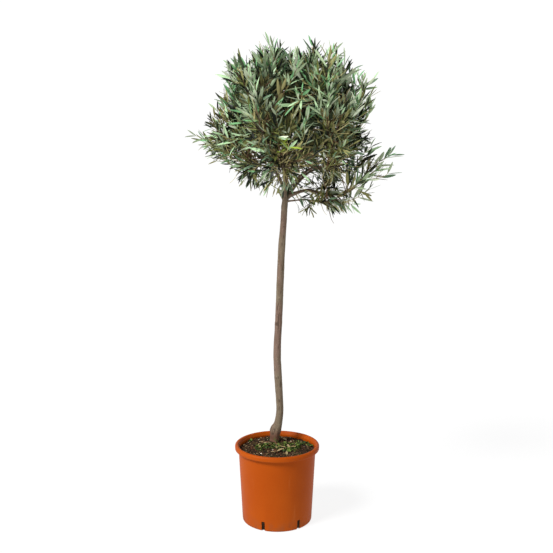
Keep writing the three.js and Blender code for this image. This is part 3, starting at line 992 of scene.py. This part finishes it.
def leaf_piece(name, places, ways, fronts, lengths, halves, materials, kinds, slot, nodes=(), curls=0.08):
    """Many leaves as one piece. Each point is the leaf's place, plus u lengths along it, plus v half widths
    across it, plus its fold and an arch of -curl u² lengths along its face. Leaves that stand for a node
    have their materials in pairs, for the upper and the under side, and the others have one for both."""
    shape, faces, under = leaf_shape()
    count, size = len(places), len(shape)
    fronts = unit(fronts - dot(fronts, ways) * ways)
    across = np.cross(fronts, ways)
    u, v, fold, below = shape.T
    arch = np.broadcast_to(curls, count)[:, None] * lengths[:, None] * u**2
    lift = halves[:, None] * fold - below * LEAF_THICK - arch
    points = places[:, None] + (lengths[:, None] * u)[..., None] * ways[:, None]
    points = points + (halves[:, None] * v)[..., None] * across[:, None] + lift[..., None] * fronts[:, None]
    faces = [repeated(f, count, size) for f in faces]
    sides = 2 if nodes else 1
    numbers = np.concatenate([(kinds[:, None] * sides + (sides - 1) * side).ravel() for side in under])
    margin = np.flatnonzero((v != 0) | (u == 0) | (u == 1))

    def on_margin(ends):
        return np.isin(ends % size, margin).all(1)

    piece(name, points.reshape(-1, 3), faces, materials, slot, nodes, numbers, on_margin)


def leaves_on(paths, long, hang, gap, bare, most, rng):
    """Opposite pairs of leaves along each path, each pair a quarter turn on from the last. Leaves stand off
    by 22 degrees at the tip and up to 52 further back, and the youngest are the smallest. Returns places,
    directions, faces, sizes and the number of each leaf's path."""
    length = np.linalg.norm(np.diff(paths, axis=1), axis=-1).sum(1)
    order = np.arange(most)
    shares = 1 - (order + rng.uniform(0, 0.25, (len(paths), 1))) * (gap / length)[:, None]
    spots, stems = along(paths, shares)
    side = side_way(stems[:, :1], rng)
    side = unit(side - dot(side, stems) * stems)
    other = np.cross(stems, side)
    turn = order * math.pi / 2 + rng.normal(scale=0.25, size=shares.shape)
    results = []
    for opposite in (0, math.pi):
        around = turn + opposite + rng.normal(scale=0.2, size=shares.shape)
        radial = np.cos(around)[..., None] * side + np.sin(around)[..., None] * other
        angle = np.radians(22 + 30 * (1 - np.exp(-order / 2.2))) + rng.normal(scale=0.16, size=shares.shape)
        way = np.cos(angle)[..., None] * stems + np.sin(angle)[..., None] * radial
        front = stems - dot(stems, way) * way + 0.3 * UP + rng.normal(scale=0.3, size=way.shape)
        way = unit(way - (hang[:, None] * rng.uniform(0.5, 1.3, shares.shape))[..., None] * UP)
        grown = 0.64 + 0.4 * (1 - np.exp(-(order + 0.3) / 1.1))
        size = long[:, None] * grown * rng.normal(1, 0.1, shares.shape)
        kept = (shares > bare[:, None]) & (rng.random(shares.shape) > 0.05 + 0.06 * order)
        path = np.broadcast_to(np.arange(len(paths))[:, None], shares.shape)
        results.append([a[kept] for a in (spots, way, front, size, path)])
    return [np.concatenate(pair) for pair in zip(*results)]


def leaf_group(mass):
    """The group that a mass's leaves belong to: its tier, but with the high masses on the left apart from the
    other high ones, and with the lowest tiers together."""
    tier = mass.split("_")[0]
    if tier == "high":
        return "high_left" if mass.endswith("left") else "high_right"
    return "low" if tier in LOW_TIERS else tier


def make_leaves(settings, growth):
    """The leaves, one piece for each group of masses. A spray draws two kinds by its tier's shares, which
    give way to the darker inner shares deep in the head as painted shade, and three in ten of its leaves are
    of the second kind."""
    head, _, shoots, twiglets, _ = grow(growth)
    materials = []
    for key, (upper, under) in LEAF_KINDS.items():
        materials.append(plain("leaf_" + key, upper, 0.34, 0.2))
        materials.append(plain("leaf_" + key + "_under", under, 0.6, 0.06))
    rng = np.random.default_rng(settings.seed)
    parts = []
    for (paths, owners), share, most in ((shoots, 1.0, settings.pairs), (twiglets, 0.82, 3)):
        long = head.habit(owners, "leaf") * share
        hang, gap = head.habit(owners, "hang"), head.habit(owners, "gap") * settings.spacing
        *leaves, path = leaves_on(paths, long, hang, gap, head.habit(owners, "bald"), most, rng)
        # Sprays deep in the head lean to the dark kinds: painted shade.
        depth = smooth(0.14, 0.5, head.depth(paths[:, -1]))[:, None]
        odds = (head.habit(owners, "kinds") * (1 - depth) + np.array(SHADED_INNER_KINDS) * depth).cumsum(1)
        draw = rng.random((2, len(odds), 1)) * odds[:, -1:]
        first, second = (draw > odds).sum(-1)
        kind = np.where(rng.random(len(path)) < 0.3, second[path], first[path])
        parts.append([*leaves, kind, owners[path]])
    *leaves, kind, owners = (np.concatenate(p) for p in zip(*parts))
    new = np.linalg.norm(leaves[0] - SPROUT[:3], axis=1) < SPROUT[3]
    kind = np.where(new, len(LEAF_KINDS) - 1, kind)
    for group in LEAF_GROUPS:
        own = np.array([leaf_group(name) == group for name in MASSES])
        kept = own[owners]
        places, ways, fronts, lengths = (a[kept] for a in leaves)
        halves = lengths * settings.width / 2 * rng.normal(1, 0.12, len(lengths))
        curls = rng.normal(0.06, 0.07, len(lengths))
        nodes = ["foliage_" + name for name, mine in zip(MASSES, own) if mine]
        shapes = (places, ways, fronts, lengths, halves)
        leaf_piece("leaves_" + group, *shapes, materials, kind[kept], "foliage", nodes, curls)


# ---------------------------------------------------------------- stage


# Half the floor's side, and where the camera stands.
FLOOR_HALF = 9.0
CAMERA_PLACE = (-0.002, -2.6144, 1.1617)

# The floor's share of reflected light and its own glow, which together come to white with a faint shadow.
FLOOR_BASE, FLOOR_GLOW = 0.12, 0.88

# The surroundings have this strength round about, and dim between these shares of the way up.
ROUND_ABOUT = 1.02
DIM_FROM, DIM_TO = 0.34, 0.5


def make_stage(settings):
    """A pale floor, a soft key light from the upper left front, surroundings that are white round about and
    dimmer overhead, and the camera."""
    scene = bpy.context.scene
    mesh = bpy.data.meshes.new("floor")
    corners = [(x * FLOOR_HALF, y * FLOOR_HALF, 0) for x, y in ((-1, -1), (1, -1), (1, 1), (-1, 1))]
    mesh.from_pydata(corners, [], [(0, 1, 2, 3)])
    grey = (FLOOR_BASE, FLOOR_BASE, FLOOR_BASE, 1)
    white = Shader("floor_white", base_color=grey, roughness=0.9, specular_ior_level=0.0)
    white.put("Emission Color", (1, 1, 1, 1))
    white.put("Emission Strength", FLOOR_GLOW)
    mesh.materials.append(white.material)
    floor = bpy.data.objects.new("floor", mesh)
    scene.collection.objects.link(floor)

    light = bpy.data.lights.new("key", "SUN")
    light.energy = settings.key
    light.angle = math.radians(settings.softness)
    lamp = bpy.data.objects.new("key", light)
    lamp.rotation_euler = (math.radians(90 - settings.height), 0, math.radians(settings.turn))
    scene.collection.objects.link(lamp)

    world = bpy.data.worlds.new("studio")
    world.use_nodes = True
    nodes, link = world.node_tree.nodes, world.node_tree.links.new
    way = nodes.new("ShaderNodeTexCoord")
    axes = nodes.new("ShaderNodeSeparateXYZ")
    shade = nodes.new("ShaderNodeMapRange")
    shade.interpolation_type = "SMOOTHSTEP"
    for i, value in enumerate((DIM_FROM, DIM_TO, ROUND_ABOUT, settings.sky), 1):
        shade.inputs[i].default_value = value
    link(way.outputs["Generated"], axes.inputs[0])
    link(axes.outputs["Z"], shade.inputs[0])
    nodes["Background"].inputs[0].default_value = (1, 1, 1, 1)
    link(shade.outputs[0], nodes["Background"].inputs[1])
    scene.world = world
    scene.view_settings.view_transform = "Standard"

    camera = bpy.data.cameras.new("camera")
    camera.sensor_width = 36.0
    camera.lens = settings.lens
    view = bpy.data.objects.new("camera", camera)
    view.location = CAMERA_PLACE
    view.rotation_euler = (math.radians(90 - settings.tilt), 0, 0)
    scene.collection.objects.link(view)
    bpy.context.scene.camera = view


# ---------------------------------------------------------------- add-on


def size(name, description, default, **limits):
    return bpy.props.FloatProperty(name=name, description=description, default=default, **limits)


def tint(name, description, code):
    return bpy.props.FloatVectorProperty(
        name=name, description=description, default=colour(code), size=4, min=0, max=1, subtype="COLOR"
    )


def whole(name, description, default, low=0):
    return bpy.props.IntProperty(name=name, description=description, default=default, min=low)


class OlivePot(bpy.types.PropertyGroup):
    """Sizes and colours of the pot."""

    colour: tint("Plastic", "Colour of the moulded plastic", "963f05")
    faded: tint("Faded plastic", "Colour of its paler clouds", "9e4608")
    lip_depth: size("Lip depth", "Height of the rolled lip", 0.0175, min=0.005, unit="LENGTH")
    wall: size("Wall", "Thickness of the wall", 0.003, min=0.001, unit="LENGTH")
    slot_width: size("Slot width", "Width of a drain slot", 0.0115, min=0.002, unit="LENGTH")
    slot_height: size("Slot height", "Height of a drain slot", 0.032, min=0.005, unit="LENGTH")
    slots: whole("Slots", "Number of drain slots", 6, 1)
    first_slot: size("First slot", "Degrees from the right to the first drain slot", -113.0)


class OliveSoil(bpy.types.PropertyGroup):
    """What lies on the soil."""

    crumbs: whole("Crumbs", "Number of crumbs and chips", 2600)
    tufts: whole("Tufts", "Number of tufts of weed and moss", 420)
    fallen: whole("Fallen leaves", "Number of dry leaves", 26)


class OliveBark(bpy.types.PropertyGroup):
    """Colours and relief of the bark."""

    bark: tint("Bark", "Main colour of the bark", "706453")
    blush: tint("Blush", "Colour of its pinkish patches", "705b50")
    lichen: tint("Olive patches", "Colour of its greenish patches", "65634a")
    relief: size("Relief", "Depth of the furrows", 0.0009, min=0, unit="LENGTH")


class OliveGrowth(bpy.types.PropertyGroup):
    """How many limbs, shoots and twiglets grow."""

    seed: whole("Seed", "Number that picks one tree of many", 22)
    limbs: whole("Limbs", "Limbs tried in each mass", 11, 1)
    shoots: whole("Shoots", "Shoots tried in the whole head", 760, 1)
    twiglets: whole("Twiglets", "Leafy side twigs on each shoot", 2)
    inner: size("Inner", "Greatest depth of a shoot's tip, as a share of the way in", 0.6, min=0, max=1)
    fork: size("Fork", "Width left open beside the fork", 0.07, min=0, unit="LENGTH")
    thinned: size("Thinned", "Share of the shoots left out low down near the stem", 0.75, min=0, max=1)
    sprigs: size("Sprigs", "Distance between twigs on the low boughs", 0.014, min=0.005, unit="LENGTH")


class OliveLeaves(bpy.types.PropertyGroup):
    """Sizes and numbers of leaves."""

    seed: whole("Seed", "Number that picks one set of leaves", 3)
    spacing: size("Spacing", "Distance between pairs of leaves over the usual distance", 1.0, min=0.2)
    width: size("Width", "Width of a leaf over its length", 0.165, min=0.05, max=1)
    pairs: whole("Pairs", "Most pairs on one shoot", 6, 1)


class OliveStage(bpy.types.PropertyGroup):
    """Light and camera."""

    key: size("Key", "Strength of the key light", 4.3, min=0)
    softness: size("Softness", "Degrees that the key light spans", 20.0, min=0, max=180)
    height: size("Height", "Degrees of the key light above the floor", 44.0, min=0, max=90)
    turn: size("Turn", "Degrees that the key light is turned to the left of the camera", -50.0)
    sky: size("Sky", "Strength of the surroundings overhead", 0.25, min=0)
    lens: size("Lens", "Focal length in millimetres", 53.08, min=1)
    tilt: size("Tilt", "Degrees that the camera looks down", 7.5)


class OLIVE_OT_pot(bpy.types.Operator):
    """Make the pot"""

    bl_idname = "olive.make_pot"
    bl_label = "Make pot"

    def execute(self, context):
        make_pot(context.scene.olive_pot)
        return {"FINISHED"}


class OLIVE_OT_soil(bpy.types.Operator):
    """Make the soil and what lies on it"""

    bl_idname = "olive.make_soil"
    bl_label = "Make soil"

    def execute(self, context):
        make_soil()
        make_litter(context.scene.olive_soil)
        return {"FINISHED"}


class OLIVE_OT_bark(bpy.types.Operator):
    """Make the barked trunk and boughs"""

    bl_idname = "olive.make_bark"
    bl_label = "Make trunk and boughs"

    def execute(self, context):
        make_trunk(context.scene.olive_bark)
        make_boughs(context.scene.olive_bark)
        return {"FINISHED"}


class OLIVE_OT_twigs(bpy.types.Operator):
    """Grow the limbs, shoots and twiglets"""

    bl_idname = "olive.make_twigs"
    bl_label = "Grow twigs"

    def execute(self, context):
        make_twigs(context.scene.olive_growth)
        return {"FINISHED"}


class OLIVE_OT_leaves(bpy.types.Operator):
    """Put leaves on the shoots and twiglets"""

    bl_idname = "olive.make_leaves"
    bl_label = "Grow leaves"

    def execute(self, context):
        make_leaves(context.scene.olive_leaves, context.scene.olive_growth)
        return {"FINISHED"}


class OLIVE_OT_stage(bpy.types.Operator):
    """Make the floor, lights and camera"""

    bl_idname = "olive.make_stage"
    bl_label = "Make stage"

    def execute(self, context):
        make_stage(context.scene.olive_stage)
        return {"FINISHED"}


SETTINGS = {
    "olive_pot": OlivePot,
    "olive_soil": OliveSoil,
    "olive_bark": OliveBark,
    "olive_growth": OliveGrowth,
    "olive_leaves": OliveLeaves,
    "olive_stage": OliveStage,
}
OPERATORS = (OLIVE_OT_pot, OLIVE_OT_soil, OLIVE_OT_bark, OLIVE_OT_twigs, OLIVE_OT_leaves, OLIVE_OT_stage)


class OLIVE_PT_panel(bpy.types.Panel):
    """Lists the tree's settings and the buttons that make its pieces"""

    bl_idname = "OLIVE_PT_panel"
    bl_label = "Potted Olive Tree"
    bl_space_type = "VIEW_3D"
    bl_region_type = "UI"
    bl_category = "Olive"

    def draw(self, context):
        for (key, group), operator in zip(SETTINGS.items(), OPERATORS):
            box = self.layout.box()
            for prop in group.__annotations__:
                box.prop(getattr(context.scene, key), prop)
            box.operator(operator.bl_idname)


def register():
    for cls in (*SETTINGS.values(), *OPERATORS, OLIVE_PT_panel):
        bpy.utils.register_class(cls)
    for key, group in SETTINGS.items():
        setattr(bpy.types.Scene, key, bpy.props.PointerProperty(type=group))


def unregister():
    for key in SETTINGS:
        delattr(bpy.types.Scene, key)
    for cls in reversed((*SETTINGS.values(), *OPERATORS, OLIVE_PT_panel)):
        bpy.utils.unregister_class(cls)


def main():
    register()
    bpy.ops.olive.make_stage()
    bpy.ops.olive.make_pot()
    bpy.ops.olive.make_soil()
    bpy.ops.olive.make_bark()
    bpy.ops.olive.make_twigs()
    bpy.ops.olive.make_leaves()


if __name__ == "__main__":
    main()
